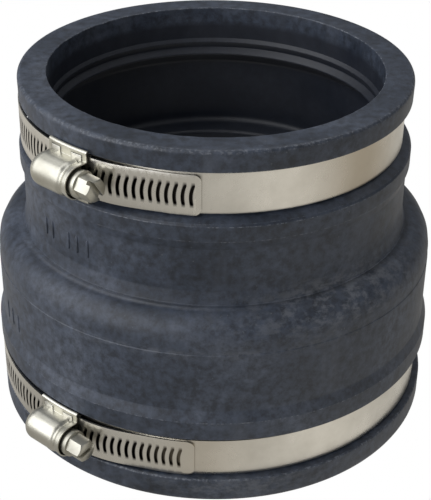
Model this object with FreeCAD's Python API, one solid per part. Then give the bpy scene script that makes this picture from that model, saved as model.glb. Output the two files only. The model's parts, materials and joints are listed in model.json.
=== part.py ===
import FreeCAD, Part

import math
import os

# Stepped flexible drain coupling: one moulded rubber sleeve that joins a 115 mm pipe (top)
# to a 136 mm pipe (bottom), held by two worm-drive clamps. Millimetres, +Z up, origin at the
# centre of the lower mouth.

# Sleeve
height = 125.0
upper_bore = 115.0
lower_bore = 136.0
upper_flange_r = 67.5
lower_flange_r = 79.1
upper_groove_r = 64.0
lower_groove_r = 75.7
lower_wall_r = 77.8
waist_r = 67.2
stop_r = 53.0
upper_relief_r = 60.8
lower_relief_r = 71.2
shoulder_z = 71.5
shoulder_fillet = 9.2

# Clamp band
band_width = 13.8
band_thickness = 0.7
band_clearance = 0.3
band_pitch = 2.62
closing_turns = 18
lap_gap = 0.05
lap_rise = 2.45
slot_length = 6.5
slot_width = 1.15
upper_band_z = 109.7
lower_band_z = 17.1
upper_azimuth = -41.8
lower_azimuth = -40.3
upper_tail_angle = 38.4
lower_tail_angle = 36.2
tail_corner = 2.4
rise_angle = 16.0
fall_angle = 17.0

# Worm screw, measured along its own axis from the middle of the housing
crest_r = 4.7
root_r = 3.4
engagement = 0.4
thread_base = 0.9
thread_crest = 0.45
core_start = -6.6
core_end = 4.2
thread_start_turns = -2.0
thread_turns = 3.4
neck_r = 3.1
tip_x = -8.2
shoulder_r = 4.2
shoulder_x = 7.2
collar_r = 4.6
collar_x = 9.2
collar_length = 1.5
hex_flats = 7.0
hex_length = 6.0
driver_slot_width = 1.5
driver_slot_depth = 2.0
upper_slot_turn = 32.0
lower_slot_turn = 100.0

# Housing and saddle
housing_half = 8.4
housing_wall = 0.45
bore_play = 0.15
foot_gap = 0.25
foot_thickness = 0.6
foot_half_width = 8.7
rim_drop = 0.1
saddle_half = 7.6
saddle_thickness = 1.0
tongue_length = 4.0
tongue_x = 4.6
tongue_wall = 0.5
tongue_reach = 1.9
flap_gap = 0.2
play = 0.1

Vector = FreeCAD.Vector
UP = Vector(0, 0, 1)


def rounded_wire(points):
    """Closed wire through (x, z, radius) corners in the XZ plane, each corner a tangent arc."""
    corners = [Vector(x, 0, z) for x, z, _ in points]
    count = len(points)
    starts, mids, ends = [], [], []
    for i, corner in enumerate(corners):
        back = (corners[i - 1] - corner).normalize()
        ahead = (corners[(i + 1) % count] - corner).normalize()
        radius = points[i][2]
        half = math.acos(max(-1.0, min(1.0, back.dot(ahead)))) / 2
        reach = radius / math.tan(half)
        starts.append(corner + back * reach)
        ends.append(corner + ahead * reach)
        mids.append(corner + (back + ahead).normalize() * (radius / math.sin(half) - radius))
    edges = []
    for i in range(count):
        if points[i][2] > 0:
            edges.append(Part.Arc(starts[i], mids[i], ends[i]).toShape())
        edges.append(Part.LineSegment(ends[i], starts[(i + 1) % count]).toShape())
    return Part.Wire(edges)


def revolved(points, base=Vector(0, 0, 0), axis=UP, angle=360):
    return Part.Face(rounded_wire(points)).revolve(base, axis, angle)


def point(radius, angle, z):
    """Point at an azimuth in degrees from the front (-Y), positive towards +X."""
    turn = math.radians(angle)
    return Vector(radius * math.sin(turn), -radius * math.cos(turn), z)


def block(x0, x1, y0, y1, z0, z1):
    return Part.makeBox(x1 - x0, y1 - y0, z1 - z0, Vector(x0, y0, z0))


def ring(r0, r1, z0, z1):
    outer = Part.makeCylinder(r1, z1 - z0, Vector(0, 0, z0))
    return outer.cut(Part.makeCylinder(r0, z1 - z0, Vector(0, 0, z0)))


def radial_edge(r0, r1, a0, a1, z):
    """Edge from azimuth a0 to a1 whose radius eases from r0 to r1; an arc where they are equal."""
    if r0 == r1:
        return Part.Arc(point(r0, a0, z), point(r0, (a0 + a1) / 2, z), point(r0, a1, z)).toShape()
    steps = 12
    curve = Part.BSplineCurve()
    eased = [i / steps for i in range(steps + 1)]
    curve.interpolate([
        point(r0 + (r1 - r0) * t * t * (3 - 2 * t), a0 + (a1 - a0) * t, z) for t in eased
    ])
    return curve.toShape()


def lap(r0, r1, a0, a1, z):
    """One stretch of band: inner radius r0 at azimuth a0, r1 at azimuth a1."""
    t = band_thickness
    z0 = z - band_width / 2
    wire = Part.Wire([
        radial_edge(r0, r1, a0, a1, z0),
        Part.LineSegment(point(r1, a1, z0), point(r1 + t, a1, z0)).toShape(),
        radial_edge(r1 + t, r0 + t, a1, a0, z0),
        Part.LineSegment(point(r0 + t, a0, z0), point(r0, a0, z0)).toShape(),
    ])
    return Part.Face(wire).extrude(UP * band_width)


def make_sleeve():
    upper, lower = upper_bore / 2, lower_bore / 2
    outline = [
        (lower, 0, 0), (lower_flange_r, 0, 2.0), (lower_flange_r, 9.3, 0.6), (lower_groove_r, 9.3, 0.5),
        (lower_groove_r, 24.9, 0.5), (77.0, 24.9, 0.3), (79.4, 26.4, 0.5), (79.4, 33.2, 0.8),
        (lower_wall_r, 37.0, 1.5), (lower_wall_r, shoulder_z, shoulder_fillet),
        (68.3, shoulder_z, 0.4), (waist_r, 76.0, 3.0), (waist_r, 91.2, 1.5), (68.3, 94.5, 1.5),
        (68.3, 99.7, 0.4), (67.6, 100.4, 0.3), (upper_groove_r, 102.1, 0.5),
        (upper_groove_r, 117.5, 0.5), (upper_flange_r - 0.2, 117.5, 0.6),
        (upper_flange_r, height, 1.2), (upper, height, 0),
        (upper, 112.9, 0.2), (upper - 1.1, 111.6, 0.6), (upper, 109.3, 0.6), (55.2, 107.1, 0.6),
        (upper_relief_r, 102.6, 2.0), (upper_relief_r, 77.0, 2.5), (stop_r, 75.6, 1.5),
        (stop_r, 69.6, 1.5), (lower_relief_r, 64.5, 4.0), (lower_relief_r, 22.4, 2.0),
        (65.7, 17.9, 0.6), (lower, 15.7, 0.6), (lower - 1.1, 13.4, 0.6), (lower, 12.1, 0.2),
    ]
    return revolved(outline)


class Clamp:
    """Radii and angles of one clamp, worked out from the groove that it sits in."""

    def __init__(self, name, z, groove_r, azimuth, tail_angle, slot_turn):
        self.name = name
        self.z = z
        self.azimuth = azimuth
        self.tail_angle = tail_angle
        self.slot_turn = slot_turn
        self.inner_r = groove_r + band_clearance
        self.raised_r = self.inner_r + lap_rise
        self.surface_r = self.raised_r + band_thickness
        self.axis_r = self.surface_r + crest_r - engagement
        self.foot_r = self.surface_r + foot_gap
        self.slot_step = math.degrees(band_pitch / (self.raised_r + band_thickness / 2))
        self.housing_angle = math.degrees(math.asin(housing_half / self.surface_r))
        self.raised_start = -(self.housing_angle + closing_turns * self.slot_step + 2.0)
        self.raised_end = self.housing_angle + 2.5

    def across(self, sector):
        """Turn a shape built at the front to the clamp's own azimuth."""
        return sector.rotated(Vector(0, 0, 0), UP, self.azimuth)


def slot_cutter(clamp, index):
    """Round-ended bar through the band, leaning with the thread's lead angle."""
    lead = math.degrees(math.atan(band_pitch / (2 * math.pi * (crest_r - engagement / 2))))
    half = (slot_length - slot_width) / 2
    depth = 3.0
    base = Vector(0, -clamp.surface_r - depth / 2, clamp.z)
    tool = block(-slot_width / 2, slot_width / 2, base.y, base.y + depth, clamp.z - half, clamp.z + half)
    for side in (-1, 1):
        end = Part.makeCylinder(slot_width / 2, depth, base + UP * side * half, Vector(0, 1, 0))
        tool = tool.fuse(end)
    tool = tool.rotated(Vector(0, 0, clamp.z), Vector(0, 1, 0), lead)
    return tool.rotated(Vector(0, 0, 0), UP, index * clamp.slot_step)


def make_band(clamp):
    """Strap: plain lap next to the rubber, slotted lap raised through the housing, free tail."""
    z, inner, raised = clamp.z, clamp.inner_r, clamp.raised_r
    tail_r = inner + band_thickness + lap_gap
    start = clamp.raised_start
    landing = clamp.raised_end + fall_angle
    plain_start = -clamp.housing_angle + 1.5
    band = lap(inner, inner, plain_start, 180, z)
    band = band.fuse([
        lap(inner, inner, 180, 360 + start - rise_angle, z),
        lap(inner, raised, start - rise_angle, start, z),
        lap(raised, raised, start, clamp.raised_end, z),
        lap(raised, tail_r, clamp.raised_end, landing, z),
        lap(tail_r, tail_r, landing, clamp.tail_angle, z),
    ]).removeSplitter()
    last = int((clamp.tail_angle - 2.0) / clamp.slot_step)
    first = -int((rise_angle / 2 - start) / clamp.slot_step)
    tools = [slot_cutter(clamp, index) for index in range(first, last + 1)]
    return round_tail(clamp, band.cut(Part.makeCompound(tools)), tail_r)


def round_tail(clamp, band, tail_r):
    """Take the two square corners off the tail's free end."""
    reach, c = 4.0, tail_corner
    y0, y1 = -tail_r - reach, -tail_r + 0.02
    for side in (-1, 1):
        edge = clamp.z + side * band_width / 2
        low, high = sorted((edge - side * c, edge + side * reach))
        corner = block(-c, reach, y0, y1, low, high)
        corner = corner.cut(Part.makeCylinder(c, y1 - y0, Vector(-c, y0, edge - side * c), Vector(0, 1, 0)))
        band = band.cut(corner.rotated(Vector(0, 0, 0), UP, clamp.tail_angle))
    return band


def make_screw(clamp):
    """Worm: threaded core, neck, shoulder, round collar and slotted hexagon head on one axis."""
    x_axis = Vector(1, 0, 0)
    centre = Vector(0, -clamp.axis_r, clamp.z)
    core = Part.makeCylinder(root_r, core_end - core_start, centre + x_axis * core_start, x_axis)
    shank = Part.makeCylinder(neck_r, collar_x + 0.5 - tip_x, centre + x_axis * tip_x, x_axis)
    collar = Part.makeCylinder(collar_r, collar_length, centre + x_axis * collar_x, x_axis)
    shoulder = Part.makeCylinder(shoulder_r, collar_x - shoulder_x, centre + x_axis * shoulder_x, x_axis)
    head = make_head(clamp, centre)
    return core.fuse([shank, shoulder, collar, make_thread(centre), head]).removeSplitter()


def make_thread(centre):
    """Right-hand helical ridge whose crest passes the band at whole pitches from the middle."""
    root = root_r - 0.15
    helix = Part.makeHelix(band_pitch, thread_turns * band_pitch, root)
    base, crest, top = thread_base / 2, thread_crest / 2, crest_r
    section = Part.makePolygon([
        Vector(root, 0, -base), Vector(top, 0, -crest), Vector(top, 0, crest), Vector(root, 0, base),
        Vector(root, 0, -base),
    ])
    pipe = Part.BRepOffsetAPI.MakePipeShell(helix)
    pipe.setFrenetMode(True)
    pipe.add(section)
    pipe.build()
    pipe.makeSolid()
    ridge = pipe.shape()
    ridge.rotate(Vector(0, 0, 0), UP, 90)
    ridge.rotate(Vector(0, 0, 0), Vector(0, 1, 0), 90)
    ridge.translate(centre + Vector(thread_start_turns * band_pitch, 0, 0))
    return ridge


def make_head(clamp, centre):
    x0 = collar_x + collar_length
    x1 = x0 + hex_length
    corner_r = hex_flats / math.sqrt(3)
    ring_points = [
        Vector(x0, corner_r * math.cos(math.radians(a)), corner_r * math.sin(math.radians(a)))
        for a in range(0, 420, 60)
    ]
    head = Part.Face(Part.makePolygon(ring_points)).extrude(Vector(x1 - x0, 0, 0))
    chamfer = revolved([
        (x0 - 1, -0.001, 0), (x1 + 0.001, -0.001, 0), (x1 + 0.001, -hex_flats / 2 + 0.25, 0),
        (x1 - 0.7, -corner_r - 0.01, 0), (x0 - 1, -corner_r - 0.01, 0),
    ], axis=Vector(1, 0, 0))
    head = head.common(chamfer)
    slot = block(x1 - driver_slot_depth, x1 + 1, -driver_slot_width / 2, driver_slot_width / 2,
                 -corner_r - 1, corner_r + 1)
    slot.rotate(Vector(0, 0, 0), Vector(1, 0, 0), clamp.slot_turn)
    return head.cut(slot).translated(centre)


def make_housing(clamp):
    """Rolled dome over the worm with a pinched neck, a flared mouth and two feet with turned rims."""
    length, wall = housing_half, housing_wall
    dome = crest_r + bore_play + wall
    outside = [
        (-length + 0.6, dome - 0.5), (-length + 2.0, dome), (4.3, dome), (5.2, dome - 0.7),
        (5.9, dome - 0.7), (6.9, dome - 0.1), (length, dome + 0.25),
    ]
    inside = [(x, r - wall) for x, r in reversed(outside)]
    wall_points = outside + inside
    outline = [Vector(x, 0, r) for x, r in wall_points]
    section = Part.Face(Part.makePolygon(outline + outline[:1]))
    roll = section.revolve(Vector(0, 0, 0), Vector(1, 0, 0), 180)
    depth = clamp.axis_r - clamp.foot_r + 1.5
    legs = [section.extrude(Vector(0, depth, 0))]
    legs.append(legs[0].mirror(Vector(0, 0, 0), UP))
    arch = roll.fuse(legs).translated(Vector(0, -clamp.axis_r, clamp.z))
    arch = arch.cut(Part.makeCylinder(clamp.foot_r, 60, Vector(0, 0, clamp.z - 30)))
    foot_top, half = clamp.foot_r + foot_thickness, foot_half_width
    base = ring(clamp.foot_r, foot_top, clamp.z - half, clamp.z + half)
    base = base.fuse([
        ring(clamp.foot_r - rim_drop, foot_top, z, z + foot_thickness)
        for z in (clamp.z - half, clamp.z + half - foot_thickness)
    ])
    span = block(-length, length, -clamp.axis_r - 10, 0, clamp.z - 20, clamp.z + 20)
    window = [Vector(x, -clamp.axis_r - 10, side * (r - wall / 2)) for side in (1, -1)
              for x, r in (outside if side > 0 else reversed(outside))]
    window = [Vector(v.x * 1.02, v.y, v.z + clamp.z) for v in window]
    opening = Part.Face(Part.makePolygon(window + window[:1])).extrude(Vector(0, clamp.axis_r + 10, 0))
    housing = arch.fuse(base.common(span).cut(opening)).removeSplitter()
    for x in (-tongue_x, tongue_x):
        for side in (-1, 1):
            housing = housing.cut(tongue_wall_block(clamp, x, side, clamp.inner_r, 100, play))
    return housing


def tongue_wall_block(clamp, x, side, r0, r1, slack=0.0):
    """Upright strip beside the band, at one of the saddle's four tongues."""
    half = tongue_length / 2 + slack
    z0 = clamp.z + side * (band_width / 2 + play - slack)
    z1 = clamp.z + side * (band_width / 2 + play + tongue_wall + slack)
    low, high = sorted((z0, z1))
    strip = block(x - half, x + half, -r1, 0, low, high)
    return strip.cut(Part.makeCylinder(r0, 60, Vector(0, 0, clamp.z - 30)))


def make_saddle(clamp):
    """Bridge between the two laps, with four tongues folded down over the housing's feet."""
    low = clamp.raised_r - play - saddle_thickness
    over = clamp.foot_r + foot_thickness + flap_gap
    top = over + tongue_wall
    edge = band_width / 2 + play + tongue_wall
    plate = ring(low, low + saddle_thickness, clamp.z - band_width / 2, clamp.z + band_width / 2)
    saddle = plate.common(block(-saddle_half, saddle_half, -clamp.axis_r, 0, clamp.z - 20, clamp.z + 20))
    shell = ring(over, top, clamp.z - edge, clamp.z + edge)
    rim = ring(low, low + saddle_thickness, clamp.z - edge, clamp.z + edge)
    for x in (-tongue_x, tongue_x):
        span = block(x - tongue_length / 2, x + tongue_length / 2, -clamp.axis_r, 0, clamp.z - 20,
                     clamp.z + 20)
        pieces = [rim.common(span)]
        for side in (-1, 1):
            z0, z1 = sorted((clamp.z + side * (edge - tongue_reach), clamp.z + side * edge))
            flap = shell.common(span).common(block(-50, 50, -clamp.axis_r, 0, z0, z1))
            upright = tongue_wall_block(clamp, x, side, low, top + 5)
            upright = upright.common(Part.makeCylinder(top, 60, Vector(0, 0, clamp.z - 30)))
            pieces += [flap, upright]
        saddle = saddle.fuse(pieces)
    return saddle.removeSplitter()


os.makedirs("parts", exist_ok=True)
nodes = {"rubber_sleeve": make_sleeve()}
clamps = [
    Clamp("upper", upper_band_z, upper_groove_r, upper_azimuth, upper_tail_angle, upper_slot_turn),
    Clamp("lower", lower_band_z, lower_groove_r, lower_azimuth, lower_tail_angle, lower_slot_turn),
]
for clamp in clamps:
    makers = {"band": make_band, "housing": make_housing, "saddle": make_saddle, "worm_screw": make_screw}
    for part, make in makers.items():
        nodes[f"{clamp.name}_{part}"] = clamp.across(make(clamp))
    ratio = math.radians(clamp.slot_step) / (2 * math.pi)
    print(clamp.name, "axis radius", round(clamp.axis_r, 3), "coupling ratio", round(ratio, 6),
          "band range", round(closing_turns * clamp.slot_step, 3))

for node, shape in nodes.items():
    shape.exportStep(f"parts/{node}.step")
    print(node, shape.isValid(), len(shape.Solids), round(shape.Volume, 1))
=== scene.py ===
import json
import math

import bmesh
import bpy
import numpy as np
from mathutils import Matrix, Vector


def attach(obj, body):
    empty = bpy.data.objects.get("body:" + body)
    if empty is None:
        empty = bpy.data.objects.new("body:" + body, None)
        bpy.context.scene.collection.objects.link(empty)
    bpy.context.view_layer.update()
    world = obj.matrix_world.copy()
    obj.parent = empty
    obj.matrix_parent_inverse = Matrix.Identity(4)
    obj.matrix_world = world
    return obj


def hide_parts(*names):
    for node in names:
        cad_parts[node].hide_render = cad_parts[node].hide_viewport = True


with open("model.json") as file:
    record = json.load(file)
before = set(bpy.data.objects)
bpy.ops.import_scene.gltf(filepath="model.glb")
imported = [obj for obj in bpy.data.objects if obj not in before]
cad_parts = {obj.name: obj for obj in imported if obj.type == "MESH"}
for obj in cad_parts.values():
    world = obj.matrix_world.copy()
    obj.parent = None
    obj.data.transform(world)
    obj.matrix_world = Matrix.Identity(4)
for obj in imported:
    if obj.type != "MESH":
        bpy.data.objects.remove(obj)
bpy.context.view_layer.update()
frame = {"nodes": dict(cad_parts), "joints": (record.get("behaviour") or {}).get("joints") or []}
MM = 0.001


# ---------------------------------------------------------------------------------------------
# Studio: a pale floor, a broad soft key from the left, a weaker fill from the right, an overhead
# panel, and the camera looking down into the upper mouth.
# ---------------------------------------------------------------------------------------------
FOCAL_LENGTH = 89.05
LOOK_DOWN = math.radians(30.46)
CAMERA_ROLL = math.radians(0.75)
CAMERA_PLACE = Vector((0.0006, -0.39495, 0.28407))
PANEL_AIM = Vector((0, 0, 0.06))
FLOOR_HALF = 3.0
THROWN_TINT = (1, 0.965, 0.90)
THROWN_TONES = [(0.0, 0.50), (0.10, 0.36), (0.21, 0.46), (0.29, 0.62), (0.36, 0.78), (0.42, 0.60),
                (0.50, 0.52), (0.62, 0.58), (0.78, 0.44), (0.90, 0.60)]


def add_camera():
    """Right, up and back axes from the look-down angle, then turned about the view axis."""
    forward = Vector((0, math.cos(LOOK_DOWN), -math.sin(LOOK_DOWN)))
    right = Vector((1, 0, 0))
    up = right.cross(forward)
    c, s = math.cos(CAMERA_ROLL), math.sin(CAMERA_ROLL)
    x_axis = right * c + up * s
    y_axis = up * c - right * s
    camera = bpy.data.objects.new("camera", bpy.data.cameras.new("camera"))
    camera.data.lens = FOCAL_LENGTH
    camera.data.clip_start = 0.01
    rotation = Matrix((x_axis, y_axis, -forward)).transposed()
    camera.matrix_world = Matrix.Translation(CAMERA_PLACE) @ rotation.to_4x4()
    bpy.context.scene.collection.objects.link(camera)
    bpy.context.scene.camera = camera


def add_panel(name, place, size, power, colour):
    """Rectangular soft light, turned to the middle of the coupling."""
    light = bpy.data.lights.new(name, "AREA")
    light.shape = "RECTANGLE"
    light.size, light.size_y = size
    light.energy = power
    light.color = colour
    panel = bpy.data.objects.new(name, light)
    panel.location = place
    panel.rotation_euler = (PANEL_AIM - Vector(place)).to_track_quat("-Z", "Y").to_euler()
    bpy.context.scene.collection.objects.link(panel)


def link(tree, source, target):
    """Join an output socket to an input."""
    tree.links.new(source, target)


def ramp(tree, source, stops):
    """Colour ramp through (place, colour) stops; a single number is a grey."""
    made = tree.nodes.new("ShaderNodeValToRGB")
    elements = made.color_ramp.elements
    while len(elements) < len(stops):
        elements.new(0.5)
    for element, (place, colour) in zip(elements, stops):
        element.position = place
        value = (colour,) * 3 if isinstance(colour, (int, float)) else colour
        element.color = (*value, 1)
    link(tree, source, made.inputs["Fac"])
    return made.outputs["Color"]


def seen_and_thrown(tree, seen, thrown, surface):
    """White to the eye, and the given light for everything that it falls on or mirrors in."""
    path = tree.nodes.new("ShaderNodeLightPath")
    choose = tree.nodes.new("ShaderNodeMixShader")
    link(tree, path.outputs["Is Camera Ray"], choose.inputs["Fac"])
    link(tree, thrown.outputs[0], choose.inputs[1])
    link(tree, seen.outputs[0], choose.inputs[2])
    link(tree, choose.outputs[0], surface)


def floor_material():
    """Pale floor. What it throws back is a warm grey that changes round the object, as the cards
    and shadows of a small studio make it do: a card at the front right, darker ground beyond."""
    material = bpy.data.materials.new("studio_floor")
    material.use_nodes = True
    tree = material.node_tree
    tree.nodes.clear()
    round_about = tree.nodes.new("ShaderNodeTexGradient")
    round_about.gradient_type = "RADIAL"
    place = tree.nodes.new("ShaderNodeTexCoord")
    link(tree, place.outputs["Object"], round_about.inputs["Vector"])
    stops = [(where, tuple(tone * share for share in THROWN_TINT)) for where, tone in THROWN_TONES]
    tones = ramp(tree, round_about.outputs["Fac"], stops)
    thrown = tree.nodes.new("ShaderNodeEmission")
    link(tree, tones, thrown.inputs["Color"])
    thrown.inputs["Strength"].default_value = 1.0
    seen = tree.nodes.new("ShaderNodeEmission")
    seen.inputs["Color"].default_value = (1, 1, 1, 1)
    output = tree.nodes.new("ShaderNodeOutputMaterial")
    seen_and_thrown(tree, seen, thrown, output.inputs["Surface"])
    return material


def add_floor():
    """A flat square at the sleeve's lower face, far larger than the view."""
    mesh = bpy.data.meshes.new("floor")
    half = FLOOR_HALF
    corners = [(-half, -half, 0), (half, -half, 0), (half, half, 0), (-half, half, 0)]
    mesh.from_pydata(corners, [], [(0, 1, 2, 3)])
    floor = bpy.data.objects.new("floor", mesh)
    bpy.context.scene.collection.objects.link(floor)
    mesh.materials.append(floor_material())


def add_world():
    """Faint cool light from all round, white where the camera sees past the floor."""
    world = bpy.data.worlds.new("studio")
    world.use_nodes = True
    tree = world.node_tree
    thrown = tree.nodes["Background"]
    thrown.inputs["Color"].default_value = (0.93, 0.95, 1.0, 1)
    thrown.inputs["Strength"].default_value = 0.22
    seen = tree.nodes.new("ShaderNodeBackground")
    seen.inputs["Color"].default_value = (1, 1, 1, 1)
    seen_and_thrown(tree, seen, thrown, tree.nodes["World Output"].inputs["Surface"])
    bpy.context.scene.world = world


bpy.context.scene.view_settings.view_transform = "Standard"
add_camera()
add_floor()
add_world()
add_panel("key_panel", (-0.95, -0.50, 0.60), (2.0, 1.5), 23, (0.96, 0.97, 1.0))
add_panel("fill_panel", (0.9, -0.5, 0.35), (0.35, 0.8), 0.6, (1.0, 0.98, 0.95))
add_panel("top_panel", (0.0, 0.35, 1.2), (1.6, 1.2), 6.5, (0.98, 0.99, 1.0))


# ---------------------------------------------------------------------------------------------
# Rubber sleeve: one EPDM moulding, with a groove for a band at each end, a rounded shoulder
# between the two diameters and two sealing ribs inside each mouth. Matt black with a dry bloom.
# ---------------------------------------------------------------------------------------------
SLEEVE_TURNS = 300
WALL_WANDER = 0.05
LIP_FLASH = 0.16
WEAR_FROM = 0.35
# Share of painted shade on the bore.
BORE_SHADE_SHARE = 0.85

# (radius, height, rounding) of each corner of the wall, from the lower mouth up the outside and
# back down the bore.
sleeve_corners = [
    (68.0, 0.0, 0.25), (79.1, 0.0, 1.9), (79.1, 9.3, 0.7), (75.7, 9.3, 0.5), (75.7, 24.9, 0.5),
    (77.0, 24.9, 0.35), (79.35, 26.4, 0.6), (79.35, 33.2, 0.9), (77.8, 37.0, 1.6),
    (77.8, 58.6, 0.1), (77.62, 58.9, 0.1), (77.62, 71.5, 9.1), (68.3, 71.5, 0.4),
    (67.2, 76.0, 3.0), (67.2, 91.2, 1.5),
    (68.25, 94.5, 1.5), (68.25, 99.7, 0.45), (67.6, 100.4, 0.3), (64.0, 102.1, 0.5),
    (64.0, 117.5, 0.5), (67.3, 117.5, 0.7), (67.45, 124.95, 1.3), (57.5, 124.95, 0.35),
    (57.5, 112.9, 0.3), (56.4, 111.6, 0.6), (57.5, 109.3, 0.6), (55.2, 107.1, 0.6),
    (60.8, 102.6, 2.0), (60.8, 77.0, 2.5), (53.0, 75.6, 1.5), (53.0, 69.6, 1.5), (71.2, 64.5, 4.0),
    (71.2, 22.4, 2.0), (65.7, 17.9, 0.6), (68.0, 15.7, 0.6), (66.9, 13.4, 0.6), (68.0, 12.1, 0.3),
]


def rounded_profile(corners, arc_steps=5, stretch=2.4):
    """Closed outline: straight runs between (r, z, radius) corners, each corner a tangent arc
    whose centre lies radius / sin(half angle) from the corner along the bisector."""
    places = np.array([(r, z) for r, z, _ in corners])
    radii = np.array([fillet for _, _, fillet in corners])
    back = np.roll(places, 1, axis=0) - places
    ahead = np.roll(places, -1, axis=0) - places
    back /= np.linalg.norm(back, axis=1)[:, None]
    ahead /= np.linalg.norm(ahead, axis=1)[:, None]
    half = np.arccos(np.clip((back * ahead).sum(1), -1, 1)) / 2
    reach = radii / np.tan(half)
    start, end = places + back * reach[:, None], places + ahead * reach[:, None]
    bisector = back + ahead
    bisector /= np.linalg.norm(bisector, axis=1)[:, None]
    centre = places + bisector * (radii / np.sin(half))[:, None]
    outline = []
    for i in range(len(corners)):
        a0 = math.atan2(*(start[i] - centre[i])[::-1])
        a1 = math.atan2(*(end[i] - centre[i])[::-1])
        sweep = (a1 - a0 + math.pi) % (2 * math.pi) - math.pi
        angles = a0 + sweep * np.linspace(0, 1, arc_steps + 1)
        outline.append(centre[i] + radii[i] * np.stack([np.cos(angles), np.sin(angles)], 1))
        following = start[(i + 1) % len(corners)]
        parts = int(np.linalg.norm(following - end[i]) / stretch) + 1
        t = np.linspace(0, 1, parts + 1)[1:-1, None]
        outline.append(end[i] + (following - end[i]) * t)
    return np.concatenate(outline)


def grid_faces(rows, columns, wrap_rows=False, wrap_columns=False):
    """Quads over a rows x columns grid of points numbered row by row."""
    i = np.arange(rows if wrap_rows else rows - 1)[:, None]
    j = np.arange(columns if wrap_columns else columns - 1)[None, :]
    i2, j2 = (i + 1) % rows, (j + 1) % columns
    quads = [i * columns + j, i2 * columns + j, i2 * columns + j2, i * columns + j2]
    return np.stack(np.broadcast_arrays(*quads), -1).reshape(-1, 4)


def signed_volume(points, faces):
    """Sum over triangles of a . (b x c) / 6, positive where faces point outwards."""
    a, b, c, d = (points[faces[:, k]] for k in range(4))
    halves = np.einsum("ij,ij->i", a, np.cross(b, c)) + np.einsum("ij,ij->i", a, np.cross(c, d))
    return halves.sum() / 6


def outward(points, faces):
    """The faces of a closed surface, turned over if they point inwards."""
    return faces[:, ::-1] if signed_volume(points, faces) < 0 else faces


def add_piece(name, points, faces):
    """Mesh object at the origin from points in metres and quads."""
    mesh = bpy.data.meshes.new(name)
    mesh.from_pydata(points.tolist(), [], faces.tolist())
    mesh.update()
    mesh.shade_smooth()
    piece = bpy.data.objects.new(name, mesh)
    bpy.context.scene.collection.objects.link(piece)
    return piece


def turned(radius, angle, z):
    """Points at azimuths measured from the front (-Y) towards +X, in metres."""
    places = np.broadcast_arrays(radius * np.sin(angle), -radius * np.cos(angle), z)
    return np.stack(places, -1) * MM


def wave(angle, z, seed, count=7, most=9, rise=0.05):
    """Sum of a few slow sine waves round and along the sleeve, between about -1 and 1."""
    draw = np.random.default_rng(seed)
    total = 0
    for _ in range(count):
        turns, phase = draw.integers(1, most), draw.uniform(0, 2 * math.pi)
        total = total + np.sin(turns * angle + phase + draw.uniform(-1, 1) * rise * z)
    return total / math.sqrt(count)


def sleeve_surface():
    """Profile turned about Z; the outside wanders by a few hundredths and the mouth's inner lip
    carries a thin, ragged flash. Returns points, outline and the azimuths of its columns."""
    outline = rounded_profile(sleeve_corners)
    angle = np.linspace(0, 2 * math.pi, SLEEVE_TURNS, endpoint=False)[:, None]
    radius, z = outline[None, :, 0], outline[None, :, 1]
    outside = (radius > 62).astype(float) * ((z > 26) | (z < 9.5) | (radius > 77))
    radius = radius - WALL_WANDER * outside * (1 + wave(angle, z, 3))
    lip = np.exp(-(((radius - 57.5) / 0.5) ** 2) - ((z - 124.6) / 0.5) ** 2)
    ragged = np.clip(wave(angle, z, 8, count=9, most=60, rise=0), 0, 2)
    radius = radius - LIP_FLASH * lip * ragged
    return turned(radius, angle, z + 0 * angle), outline, angle


def new_material(name):
    """A material with its node tree and its Principled shader."""
    material = bpy.data.materials.new(name)
    material.use_nodes = True
    return material, material.node_tree, material.node_tree.nodes["Principled BSDF"]


def node(tree, kind, **settings):
    """A node whose settings are values of its inputs, or else its own properties."""
    made = tree.nodes.new(kind)
    for key, value in settings.items():
        if key in made.inputs:
            made.inputs[key].default_value = value
        else:
            setattr(made, key, value)
    return made


def mix(tree, factor, first, second, blend="MIX"):
    """Colour mix, whose sockets are 0, 6 and 7; each may be fed by a socket or a plain value."""
    made = node(tree, "ShaderNodeMix", data_type="RGBA", blend_type=blend)
    for number, value in ((0, factor), (6, first), (7, second)):
        socket = made.inputs[number]
        if isinstance(value, bpy.types.NodeSocket):
            link(tree, value, socket)
        elif isinstance(value, (int, float)):
            socket.default_value = value
        else:
            socket.default_value = (*value, 1)
    return made.outputs[2]


def cloud(tree, vector, scale, detail, roughness, stretch=None):
    """Noise on a vector, optionally stretched by a mapping."""
    if stretch:
        mapping = node(tree, "ShaderNodeMapping")
        mapping.inputs["Scale"].default_value = stretch
        link(tree, vector, mapping.inputs["Vector"])
        vector = mapping.outputs["Vector"]
    made = node(tree, "ShaderNodeTexNoise", Scale=scale, Detail=detail, Roughness=roughness)
    link(tree, vector, made.inputs["Vector"])
    return made.outputs["Fac"]


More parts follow.
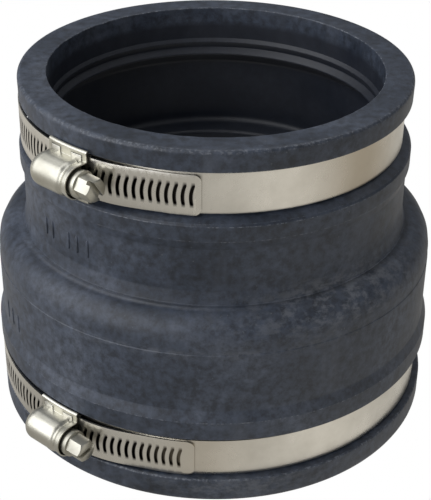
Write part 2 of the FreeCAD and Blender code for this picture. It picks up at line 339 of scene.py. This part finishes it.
def scuff_group():
    """Shared scuffs and dust: fine grain, sparse scratches and pale specks, as masks 0 to 1."""
    group = bpy.data.node_groups.new("scuffs_and_dust", "ShaderNodeTree")
    group.interface.new_socket("Vector", in_out="INPUT", socket_type="NodeSocketVector")
    scale = group.interface.new_socket("Scale", in_out="INPUT", socket_type="NodeSocketFloat")
    scale.default_value = 1.0
    for name in ("Grain", "Scratches", "Specks"):
        group.interface.new_socket(name, in_out="OUTPUT", socket_type="NodeSocketFloat")
    enter, leave = group.nodes.new("NodeGroupInput"), group.nodes.new("NodeGroupOutput")
    scaled = node(group, "ShaderNodeVectorMath", operation="SCALE")
    link(group, enter.outputs["Vector"], scaled.inputs[0])
    link(group, enter.outputs["Scale"], scaled.inputs["Scale"])
    vector = scaled.outputs["Vector"]
    link(group, cloud(group, vector, 2600, 3, 0.6), leave.inputs["Grain"])
    long_noise = cloud(group, vector, 160, 5, 0.7, (1.0, 1.0, 0.22))
    link(group, ramp(group, long_noise, [(0.60, 0.0), (0.72, 1.0)]), leave.inputs["Scratches"])
    fine = cloud(group, vector, 1100, 2, 0.5)
    sparse = ramp(group, cloud(group, vector, 45, 3, 0.6), [(0.48, 0.0), (0.62, 0.8)])
    specks = ramp(group, fine, [(0.68, 0.0), (0.75, 1.0)])
    link(group, mix(group, 1.0, specks, sparse, "MULTIPLY"), leave.inputs["Specks"])
    return group


scuffs = scuff_group()


def add_scuffs(tree, scale):
    """Place the shared scuffs in a material; returns its Object coordinates and the masks."""
    place = tree.nodes.new("ShaderNodeTexCoord").outputs["Object"]
    group = tree.nodes.new("ShaderNodeGroup")
    group.node_tree = scuffs
    group.inputs["Scale"].default_value = scale
    link(tree, place, group.inputs["Vector"])
    return place, group.outputs


def rubber_material():
    """Black EPDM: cool dark grey, chalky bloom in slow patches, upright flow streaks, specks, and
    painted shade that darkens the bore nearly to black.
    """
    material, tree, shader = new_material("black_epdm")
    place, marks = add_scuffs(tree, 1.0)
    patches = cloud(tree, place, 28, 5, 0.62)
    streaks = cloud(tree, place, 95, 4, 0.6, (1.0, 1.0, 0.12))
    blotches = cloud(tree, place, 210, 6, 0.72, (1.0, 1.0, 1.8))
    tone = ramp(tree, patches, [(0.30, (0.013, 0.018, 0.028)), (0.52, (0.030, 0.038, 0.055)),
                                (0.74, (0.062, 0.072, 0.094))])
    mottle = ramp(tree, cloud(tree, place, 330, 5, 0.7), [(0.36, 0.55), (0.64, 1.45)])
    tone = mix(tree, 1.0, tone, mottle, "MULTIPLY")
    streak_mask = ramp(tree, streaks, [(0.54, 0.0), (0.78, 0.5)])
    tone = mix(tree, streak_mask, tone, (0.070, 0.080, 0.102))
    flow = node(tree, "ShaderNodeAttribute", attribute_name="flow_marks")
    torn = ramp(tree, blotches, [(0.46, 0.0), (0.60, 0.8)])
    rough_flow = mix(tree, 1.0, flow.outputs["Color"], torn, "MULTIPLY")
    tone = mix(tree, rough_flow, tone, (0.115, 0.124, 0.142))
    edge = node(tree, "ShaderNodeAttribute", attribute_name="edge_wear")
    crumbs = ramp(tree, cloud(tree, place, 900, 4, 0.7), [(0.50, 0.03), (0.62, 1.0)])
    broken = mix(tree, 1.0, edge.outputs["Color"], crumbs, "MULTIPLY")
    tone = mix(tree, broken, tone, (0.115, 0.125, 0.145))
    tone = mix(tree, marks["Specks"], tone, (0.085, 0.092, 0.10))
    # Painted shade: the bore's inside is darkened nearly to black, where it lies in shade.
    bore_shade = node(tree, "ShaderNodeAttribute", attribute_name="bore_painted_shade")
    tone = mix(tree, bore_shade.outputs["Color"], tone, (0.008, 0.010, 0.016))
    link(tree, tone, shader.inputs["Base Color"])
    link(tree, ramp(tree, patches, [(0.3, 0.40), (0.7, 0.60)]), shader.inputs["Roughness"])
    shader.inputs["Specular IOR Level"].default_value = 0.45
    height = mix(tree, 0.5, marks["Grain"], marks["Scratches"])
    height = mix(tree, 0.5, height, rough_flow)
    bump = node(tree, "ShaderNodeBump", Strength=0.28, Distance=0.00018)
    link(tree, height, bump.inputs["Height"])
    link(tree, bump.outputs["Normal"], shader.inputs["Normal"])
    return material


def store(piece, name, values):
    """One value per point of the piece, which its material reads by name."""
    attribute = piece.data.attributes.new(name, "FLOAT", "POINT")
    attribute.data.foreach_set("value", np.ascontiguousarray(values, np.float32).ravel())


def edge_wear(outline):
    """How worn each corner is, 0 to 1: the turn between neighbouring segments over their mean
    length, less a threshold, on the outside and the mouths only."""
    ahead = np.roll(outline, -1, axis=0) - outline
    back = outline - np.roll(outline, 1, axis=0)
    lengths = np.linalg.norm(ahead, axis=1), np.linalg.norm(back, axis=1)
    turn = (back[:, 0] * ahead[:, 1] - back[:, 1] * ahead[:, 0]) / (lengths[0] * lengths[1] + 1e-9)
    bend = np.arcsin(np.clip(turn, -1, 1)) / (0.5 * (lengths[0] + lengths[1]) + 1e-9)
    return np.clip((bend - WEAR_FROM) * 1.6, 0, 1) * (outline[:, 0] > 56)


def bore_painted_shade(outline):
    """Painted shade in the bore: a fixed share on its narrower stretches, between 7 and 118 mm up,
    and none elsewhere."""
    radius, z = outline[:, 0], outline[:, 1]
    return BORE_SHADE_SHARE * ((z < 118) & (z > 7) & (radius < 63.9))


def flow_marks(angle, z):
    """Where the rubber shows rough flow: bell curves, as exp of minus the squared distance, round
    the right of the shoulder, fainter low on the front, and thin along the parting line."""
    shoulder = np.exp(-(((angle - 0.62) / 0.50) ** 2) - ((z - 69.0) / 6.5) ** 2)
    foot = 0.7 * np.exp(-(((angle - 0.12) / 0.35) ** 2) - ((z - 6.0) / 4.5) ** 2)
    parting = 0.6 * np.exp(-((z - 58.8) / 0.35) ** 2) * np.exp(-((angle + 0.1) / 0.9) ** 2)
    return np.maximum(np.maximum(shoulder, foot), parting)


points, outline, angle = sleeve_surface()
faces = outward(points.reshape(-1, 3), grid_faces(*points.shape[:2], True, True))
sleeve = add_piece("sleeve_moulding", points.reshape(-1, 3), faces)
from_front = (angle + math.pi) % (2 * math.pi) - math.pi
store(sleeve, "edge_wear", np.broadcast_to(edge_wear(outline), points.shape[:2]))
store(sleeve, "flow_marks", flow_marks(from_front, outline[None, :, 1]))
# Painted shade of the bore, read by the rubber material.
store(sleeve, "bore_painted_shade", np.broadcast_to(bore_painted_shade(outline), points.shape[:2]))
black_epdm = rubber_material()
sleeve.data.materials.append(black_epdm)
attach(sleeve, "sleeve")
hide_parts("rubber_sleeve")


WELD_DISTANCE = 0.02 * MM


def weld(piece):
    """Join points that lie on each other, so that seams and poles close."""
    work = bmesh.new()
    work.from_mesh(piece.data)
    bmesh.ops.remove_doubles(work, verts=work.verts, dist=WELD_DISTANCE)
    work.to_mesh(piece.data)
    work.free()


def root(value):
    """Square root that keeps the sign."""
    return np.sign(value) * np.abs(value) ** 0.5


def raised_bars(places, radius, middle, size, proud):
    """Low moulded bars on a wall: superellipsoids (each coordinate a signed root of a sphere's),
    bent round the sleeve at the given azimuths."""
    around = np.linspace(0, 2 * math.pi, 16, endpoint=False)[:, None]
    over = np.linspace(-math.pi / 2, math.pi / 2, 9)[None, :]
    side = size[0] / 2 * root(np.cos(around) * np.cos(over))
    rise = size[1] / 2 * root(np.sin(around) * np.cos(over))
    out = proud * root(np.sin(over)) + 0 * around
    cell = grid_faces(*side.shape, wrap_rows=True)
    points = [turned(radius + out, place + side / radius, middle + rise).reshape(-1, 3)
              for place in places]
    faces = [cell + number * side.size for number in range(len(places))]
    return np.concatenate(points), np.concatenate(faces)


# (azimuths, wall radius, middle height, bar size, how proud) of each row of plain bars.
tally_rows = [(np.radians([-37, -41, -44.5, -52, -55.5]), 67.15, 83.0, (1.1, 6.5), 0.42),
              (np.radians([-60, -64, -68]), 77.6, 44.0, (1.1, 7.5), 0.42)]
for number, row in enumerate(tally_rows):
    points, faces = raised_bars(*row)
    bars = add_piece(f"size_tally_{number + 1}", points, outward(points, faces))
    weld(bars)
    bars.data.materials.append(black_epdm)
    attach(bars, "sleeve")


# ---------------------------------------------------------------------------------------------
# Clamp bands: 0.7 mm stainless strip with a row of leaning slots pressed through one end. The
# plain end lies on the rubber, the slotted end rises through the housing and comes out as a tail.
# ---------------------------------------------------------------------------------------------
BAND_WIDTH = 13.8
BAND_THICKNESS = 0.7
LAP_RISE = 2.45
LAP_GAP = 0.05
PITCH = 2.62
AXIS_ABOVE_BAND = 4.3
CLOSING_TURNS = 18
TAIL_ANGLE = {"upper": 38.4, "lower": 36.2}
TAIL_CORNER = 2.4
RISE_ANGLE = 16.0
FALL_ANGLE = 17.0
HOUSING_HALF = 8.4
SLOT_LENGTH = 6.7
SLOT_WIDTH = 0.98
SLOT_LEAN = 0.1
SLOT_BOW = 0.468
WIDTH_ROWS = 19
LAP_SPARE = 2.0
LAP_PAST = 2.5
END_UNDER = 1.5
CORNER_RADIUS = 66
DROOP_SPAN = 28
TAIL_DROOP = {"upper": 0.6, "lower": 0.25}
# Margin and fade of the painted shade on the under-lap.
SHADE_MARGIN = 0.6
SHADE_FADE = 0.4
PATINA_TINT = (0.66, 0.58, 0.47)
PATINA_PLACE = {"upper": (47.0, 15.0, 0.75), "lower": (-2.0, 9.0, 0.35)}


class ClampSizes:
    """Radii, heights and angles of one clamp, read from its screw's joint in the record."""

    def __init__(self, name):
        joint = next(j for j in frame["joints"] if j["name"] == f"{name}_screw_turn")
        x, y, z = (value / MM for value in joint["pos_m"])
        self.name = name
        self.z = z
        self.azimuth = math.atan2(x, -y)
        self.axis_r = math.hypot(x, y)
        self.surface_r = self.axis_r - AXIS_ABOVE_BAND
        self.raised_r = self.surface_r - BAND_THICKNESS
        self.inner_r = self.raised_r - LAP_RISE
        self.slot_step = math.degrees(PITCH / (self.raised_r + BAND_THICKNESS / 2))
        housing_angle = math.degrees(math.asin(HOUSING_HALF / self.surface_r))
        self.raised_start = -(housing_angle + CLOSING_TURNS * self.slot_step + LAP_SPARE)
        self.raised_end = housing_angle + LAP_PAST
        self.tail_angle = TAIL_ANGLE[name]
        self.plain_start = -housing_angle + END_UNDER

    def outer_r(self, turn):
        """Outer radius of the strip at an unwound angle: plain, easing up, raised, easing down."""
        stops = [0, 360 + self.raised_start - RISE_ANGLE, 360 + self.raised_start,
                 360 + self.raised_end, 360 + self.raised_end + FALL_ANGLE, 720]
        tail = self.inner_r + BAND_THICKNESS + LAP_GAP
        levels = np.array([self.inner_r, self.inner_r, self.raised_r, self.raised_r, tail, tail])
        index = np.clip(np.searchsorted(stops, turn, side="right") - 1, 0, 4)
        t = np.clip((turn - np.take(stops, index)) / np.diff(stops)[index], 0, 1)
        t = t * t * (3 - 2 * t)
        return levels[index] * (1 - t) + levels[index + 1] * t + BAND_THICKNESS


def strip_columns(turns, across, tail_end):
    """Plain stretch: columns at the given unwound angles, rows across, its end corners rounded
    off by a quarter circle of the tail's corner radius."""
    corner = TAIL_CORNER
    left = np.clip(np.radians(tail_end - turns) * CORNER_RADIUS, 0, corner)
    inset = corner - np.sqrt(corner ** 2 - (corner - left) ** 2)
    scale = 1 - inset / (BAND_WIDTH / 2)
    turn, w = np.broadcast_arrays(turns[:, None], across[None, :] * scale[:, None])
    return turn, w, 0 * turn


def slot_cell(index, step, across):
    """One pitch of strip round its slot: rings from the slot's leaning, bowed outline out to the
    cell's rectangle, each a blend of the two. Rows run straight across beside the slot, and the
    rows past its end share out the first 60 degrees of its round end. Its edge carries painted
    shade."""
    half_w, round_from = BAND_WIDTH / 2, math.pi / 3
    ends = np.linspace(-0.5, 0.5, 5)[1:-1] * step
    side = np.ones_like(across) * step / 2
    outer_turn = np.concatenate([side, ends[::-1], -side, ends])
    outer_w = np.concatenate([across, 0 * ends + half_w, across[::-1], 0 * ends - half_w])
    straight, half = (SLOT_LENGTH - SLOT_WIDTH) / 2, SLOT_WIDTH / 2
    turned_in = np.clip((np.abs(across) - straight) / (half_w - straight), 0, 1) * round_from
    side_x = half * np.cos(turned_in)
    side_w = np.sign(across) * (np.minimum(np.abs(across), straight) + half * np.sin(turned_in))
    cap = np.linspace(round_from, math.pi - round_from, 5)[1:-1]
    cap_x, cap_w = half * np.cos(cap), straight + half * np.sin(cap)
    slot_x = np.concatenate([side_x, cap_x, -side_x, -cap_x])
    slot_w = np.concatenate([side_w, cap_w, side_w[::-1], -cap_w])
    lean = SLOT_LEAN * slot_w + SLOT_BOW * ((slot_w / straight) ** 2 - 0.4)
    slot_turn = (slot_x + lean) * step / PITCH
    share = np.array([0.0, 0.32, 1.0])[:, None]
    turn = slot_turn * (1 - share) + outer_turn * share + index * step
    w = slot_w * (1 - share) + outer_w * share
    # The slot's edge ring gets painted shade.
    return turn, w, (share == 0) + 0 * turn


def band_surface(clamp):
    """Strip as plain columns, slot cells, then the tail's columns, all bent to the clamp's path.
    Returns points of the outer face, quads, and the painted shade of each point: on the slot
    edges and on the under-lap that shows through the slots."""
    across = np.linspace(-1, 1, WIDTH_ROWS) * BAND_WIDTH / 2
    last = int((clamp.tail_angle - 2.0) / clamp.slot_step)
    first = -int((RISE_ANGLE / 2 - clamp.raised_start) / clamp.slot_step)
    tail_end = 360 + clamp.tail_angle
    start = 360 + (first - 0.5) * clamp.slot_step
    end = 360 + (last + 0.5) * clamp.slot_step
    pieces, faces, count = [], [], 0
    near_tip = tail_end - np.array([2.0, 1.4, 0.9, 0.5, 0.25, 0.1, 0.03, 0.0])
    tail_turns = np.append(end, near_tip[near_tip > end])
    for turns in (np.linspace(clamp.plain_start, start, 230), tail_turns):
        block = strip_columns(turns, across, tail_end)
        pieces.append(block)
        faces.append(grid_faces(*block[0].shape) + count)
        count += block[0].size
    for index in range(first, last + 1):
        turn, w, edge_shade = slot_cell(index, clamp.slot_step, across)
        pieces.append((turn + 360, w, edge_shade))
        faces.append(grid_faces(*turn.shape, wrap_columns=True) + count)
        count += turn.size
    turn, w, edge_shade = (np.concatenate([piece[k].ravel() for piece in pieces]) for k in range(3))
    droop = TAIL_DROOP[clamp.name] * np.clip((turn - 360 - clamp.raised_end) / DROOP_SPAN, 0, 1)
    place = turned(clamp.outer_r(turn), np.radians(turn) + clamp.azimuth, clamp.z + w - droop)
    # Painted shade on the plain lap under the slotted lap and tail, seen black through the slots.
    inside = np.clip((BAND_WIDTH / 2 - SHADE_MARGIN - np.abs(w)) / SHADE_FADE, 0, 1)
    under = (turn < clamp.tail_angle - SHADE_MARGIN) * inside
    return place, np.concatenate(faces), np.maximum(edge_shade, under)


def finish_mesh(piece, sharp_degrees=38):
    """Apply the piece's modifiers, then mark edges sharper than the given angle."""
    graph = bpy.context.evaluated_depsgraph_get()
    finished = piece.evaluated_get(graph)
    done = bpy.data.meshes.new_from_object(finished, preserve_all_data_layers=True, depsgraph=graph)
    piece.modifiers.clear()
    piece.data = done
    done.shade_smooth()
    done.set_sharp_from_angle(angle=math.radians(sharp_degrees))


def thicken(piece, thickness, bevel):
    """Give an outer skin its wall, inwards, and break the wall's edges."""
    solid = piece.modifiers.new("wall", "SOLIDIFY")
    solid.thickness = thickness * MM
    solid.offset = -1
    round_edges(piece, bevel)


def round_edges(piece, bevel):
    """Break every edge sharper than 42 degrees."""
    edge = piece.modifiers.new("edges", "BEVEL")
    edge.width = bevel * MM
    edge.segments = 2
    edge.limit_method = "ANGLE"
    edge.angle_limit = math.radians(42)
    edge.use_clamp_overlap = True


def steel_material(name, tone, dark, roughness, brushed, with_shade_and_patina=False):
    """Stainless: drawn grain along the strip or the rolling, faint stains, fine scratches; with
    shade and patina on, painted shade from an attribute and a patina tint.
    """
    material, tree, shader = new_material(name)
    place, marks = add_scuffs(tree, 1.0)
    stains = cloud(tree, place, 60, 4, 0.6)
    colour = ramp(tree, stains, [(0.3, dark), (0.62, tone)])
    colour = mix(tree, marks["Specks"], colour, tuple(c * 0.72 for c in tone))
    if with_shade_and_patina:
        # Painted shade: the attribute darkens slot edges, the hidden under-lap and the foot round
        # the tongues nearly to black.
        painted_shade = node(tree, "ShaderNodeAttribute", attribute_name="painted_shade")
        colour = mix(tree, painted_shade.outputs["Color"], colour, (0.012, 0.011, 0.010))
        patina = node(tree, "ShaderNodeAttribute", attribute_name="patina")
        tint = tuple(part * share for part, share in zip(tone, PATINA_TINT))
        colour = mix(tree, patina.outputs["Color"], colour, tint)
    link(tree, colour, shader.inputs["Base Color"])
    shader.inputs["Metallic"].default_value = 1.0
    low, high = roughness
    link(tree, ramp(tree, stains, [(0.3, high), (0.7, low)]), shader.inputs["Roughness"])
    grain = cloud(tree, place, 900, 3, 0.6, brushed)
    height = mix(tree, 0.35, grain, marks["Scratches"])
    bump = node(tree, "ShaderNodeBump", Strength=0.25, Distance=0.00005)
    link(tree, height, bump.inputs["Height"])
    link(tree, bump.outputs["Normal"], shader.inputs["Normal"])
    return material


def patina_of(clamp, points):
    """Heat-tinted patch on the strip: a bell curve of the azimuth, brown at its middle."""
    azimuth = np.degrees(np.arctan2(points[:, 0], -points[:, 1]))
    middle, spread, depth = PATINA_PLACE[clamp.name]
    return depth * np.exp(-(((azimuth - middle) / spread) ** 2))


clamps = [ClampSizes("upper"), ClampSizes("lower")]
band_steel = steel_material("rolled_strip", (0.74, 0.715, 0.655), (0.62, 0.595, 0.535),
                            (0.22, 0.36), (0.25, 0.25, 6.0), with_shade_and_patina=True)
for clamp in clamps:
    points, faces, painted_shade = band_surface(clamp)
    band = add_piece(f"{clamp.name}_strip", points, faces)
    # Painted shade on the slot edges and under-lap, read by the steel material.
    store(band, "painted_shade", painted_shade)
    store(band, "patina", patina_of(clamp, points))
    weld(band)
    thicken(band, BAND_THICKNESS, 0.09)
    finish_mesh(band)
    band.data.materials.append(band_steel)
    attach(band, f"{clamp.name}_strap")
    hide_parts(f"{clamp.name}_band")


# ---------------------------------------------------------------------------------------------
# Housings: 0.45 mm stainless rolled over the worm, pinched behind the head to hold it, flared at
# the mouth, with flat feet whose windows take the saddle's tongues.
# ---------------------------------------------------------------------------------------------
HOUSING_WALL = 0.45
FOOT_TOP = 0.85
FOOT_HALF_WIDTH = 8.7
DOME_R = 5.3
TONGUE_X = 4.6
TONGUE_HALF = 2.15
TONGUE_SPAN = (5.5, 7.5)
WINDOW = (6.9, 7.6)
FOOT_COLUMNS = (8.1, 7.85, WINDOW[1], WINDOW[0], 6.4)
HOLLOW = 0.6
RIM_ROUND = 0.3
RIM_DROP = 0.25
# Reach of the painted shade round the tongues.
SHADE_REACH = 0.28


def dome_radius(x):
    """Outer radius along the screw: turned in at the tail end, pinched, then flared. Straight
    runs between stations, smoothed by a raised-cosine average a millimetre wide."""
    stations = [-8.4, -7.8, -7.1, -6.2, 4.2, 5.1, 5.9, 6.7, 7.6, 8.4]
    radii = [4.2, 4.75, 5.1, DOME_R - 0.02, DOME_R, 4.65, 4.65, 5.0, 5.1, 5.25]
    dense = np.linspace(-HOUSING_HALF, HOUSING_HALF, 401)
    rough = np.interp(dense, stations, radii)
    kernel = np.hanning(25)
    smooth = np.convolve(np.pad(rough, 12, mode="edge"), kernel / kernel.sum(), mode="valid")
    return np.interp(x, dense, smooth)


def housing_section(x, clamp):
    """Cross-section at each x, edge to edge: turned-down rim, foot, hollow fillet, leg, dome, and
    the same back. Columns are (width, outward radius) pairs."""
    foot = np.sqrt((clamp.surface_r + FOOT_TOP) ** 2 - x ** 2)[:, None]
    radius = dome_radius(x)[:, None]
    hollow, lip = HOLLOW, RIM_ROUND
    edge = FOOT_HALF_WIDTH
    one = np.ones_like(radius)
    quarter = np.linspace(0, math.pi / 2, 6)[None, :]
    rim_w = edge - lip + lip * np.cos(quarter) * one
    rim_r = foot - lip + lip * np.sin(quarter)
    flat_w = np.array(FOOT_COLUMNS)[None, :] * one
    flat_r = foot + 0 * flat_w
    base = radius + hollow
    hollow_w = base - hollow * np.sin(quarter)
    hollow_r = foot + hollow - hollow * np.cos(quarter)
    arc = np.linspace(0, math.pi / 2, 14)[None, :]
    dome_w = radius * np.cos(arc)
    dome_r = clamp.axis_r + radius * np.sin(arc)
    start_w, start_r = edge * one, foot - lip - RIM_DROP
    half_w = np.concatenate([start_w, rim_w, flat_w, hollow_w, dome_w], 1)
    half_r = np.concatenate([start_r, rim_r, flat_r, hollow_r, dome_r], 1)
    return (np.concatenate([half_w, -half_w[:, -2::-1]], 1),
            np.concatenate([half_r, half_r[:, -2::-1]], 1))


def local_points(x, radius, w, clamp):
    """Points of a clamp's own frame (along the screw, outwards, up) in the row frame, metres."""
    c, s = math.cos(clamp.azimuth), math.sin(clamp.azimuth)
    return np.stack([x * c + radius * s, x * s - radius * c, clamp.z + w], -1) * MM


def housing_surface(clamp):
    """The sections along the screw, less the windows; also the painted shade beside each tongue, as
    exp of minus the distance to it."""
    edges = [side * TONGUE_X + half * TONGUE_HALF for side in (-1, 1) for half in (-1, 1)]
    x = np.unique(np.concatenate([np.linspace(-HOUSING_HALF, HOUSING_HALF, 61), edges]))
    w, radius = housing_section(x, clamp)
    along = np.broadcast_to(x[:, None], w.shape)
    faces = grid_faces(*w.shape)
    mid_x = along.ravel()[faces].mean(1)
    mid_w = np.abs(w.ravel()[faces].mean(1))
    mid_r = radius.ravel()[faces].mean(1)
    in_window = (np.abs(np.abs(mid_x) - TONGUE_X) < TONGUE_HALF) & (mid_w > WINDOW[0])
    in_window &= (mid_w < WINDOW[1]) & (mid_r < clamp.surface_r + FOOT_TOP + 0.2)
    beside = np.maximum(np.abs(np.abs(along) - TONGUE_X) - 2.0, 0)
    near, far = TONGUE_SPAN
    above = np.maximum(np.maximum(np.abs(w) - far, near - np.abs(w)), 0)
    on_foot = radius < clamp.surface_r + FOOT_TOP + 0.5
    shadow = np.exp(-np.hypot(beside, above) / SHADE_REACH) * on_foot
    return local_points(along, radius, w, clamp).reshape(-1, 3), faces[~in_window], shadow


housing_steel = steel_material("pressed_stainless", (0.60, 0.585, 0.515), (0.44, 0.425, 0.355),
                               (0.30, 0.46), (0.5, 0.5, 3.0), with_shade_and_patina=True)
for clamp in clamps:
    points, faces, shadow = housing_surface(clamp)
    housing = add_piece(f"{clamp.name}_cover", points, faces)
    # Painted shade round the tongues, read by the steel material.
    store(housing, "painted_shade", shadow)
    thicken(housing, HOUSING_WALL, 0.14)
    finish_mesh(housing)
    housing.data.materials.append(housing_steel)
    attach(housing, f"{clamp.name}_clamp")
    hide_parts(f"{clamp.name}_housing")


# ---------------------------------------------------------------------------------------------
# Saddles and worm screws: the bridge under the worm, with four folded tongues, and the cold-formed
# screw with its collar and slotted hexagon head. Both keep their designed shape, with edges broken.
# ---------------------------------------------------------------------------------------------
SKIN_WELD = 0.001 * MM
FLAT_ANGLE = math.radians(0.6)


def softened(node_name, name, bevel):
    """Copy of a designed part, merged to one skin, flats joined, and its edges rounded."""
    source = frame["nodes"][node_name]
    piece = bpy.data.objects.new(name, source.data.copy())
    bpy.context.scene.collection.objects.link(piece)
    work = bmesh.new()
    work.from_mesh(piece.data)
    bmesh.ops.remove_doubles(work, verts=work.verts, dist=SKIN_WELD)
    bmesh.ops.dissolve_limit(work, angle_limit=FLAT_ANGLE, verts=work.verts, edges=work.edges)
    work.to_mesh(piece.data)
    work.free()
    round_edges(piece, bevel)
    finish_mesh(piece, 30)
    piece.data.materials.clear()
    return piece


saddle_steel = steel_material("bright_bridge", (0.78, 0.765, 0.71), (0.66, 0.645, 0.59),
                              (0.30, 0.42), (1.0, 1.0, 1.0))
screw_steel = steel_material("formed_screw", (0.56, 0.545, 0.475), (0.42, 0.405, 0.345),
                             (0.34, 0.50), (1.0, 1.0, 1.0))
for clamp in clamps:
    saddle = softened(f"{clamp.name}_saddle", f"{clamp.name}_bridge", 0.12)
    saddle.data.materials.append(saddle_steel)
    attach(saddle, f"{clamp.name}_clamp")
    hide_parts(f"{clamp.name}_saddle")
    screw = softened(f"{clamp.name}_worm_screw", f"{clamp.name}_screw", 0.14)
    screw.data.materials.append(screw_steel)
    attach(screw, f"{clamp.name}_worm")
    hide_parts(f"{clamp.name}_worm_screw")


bpy.context.view_layer.update()
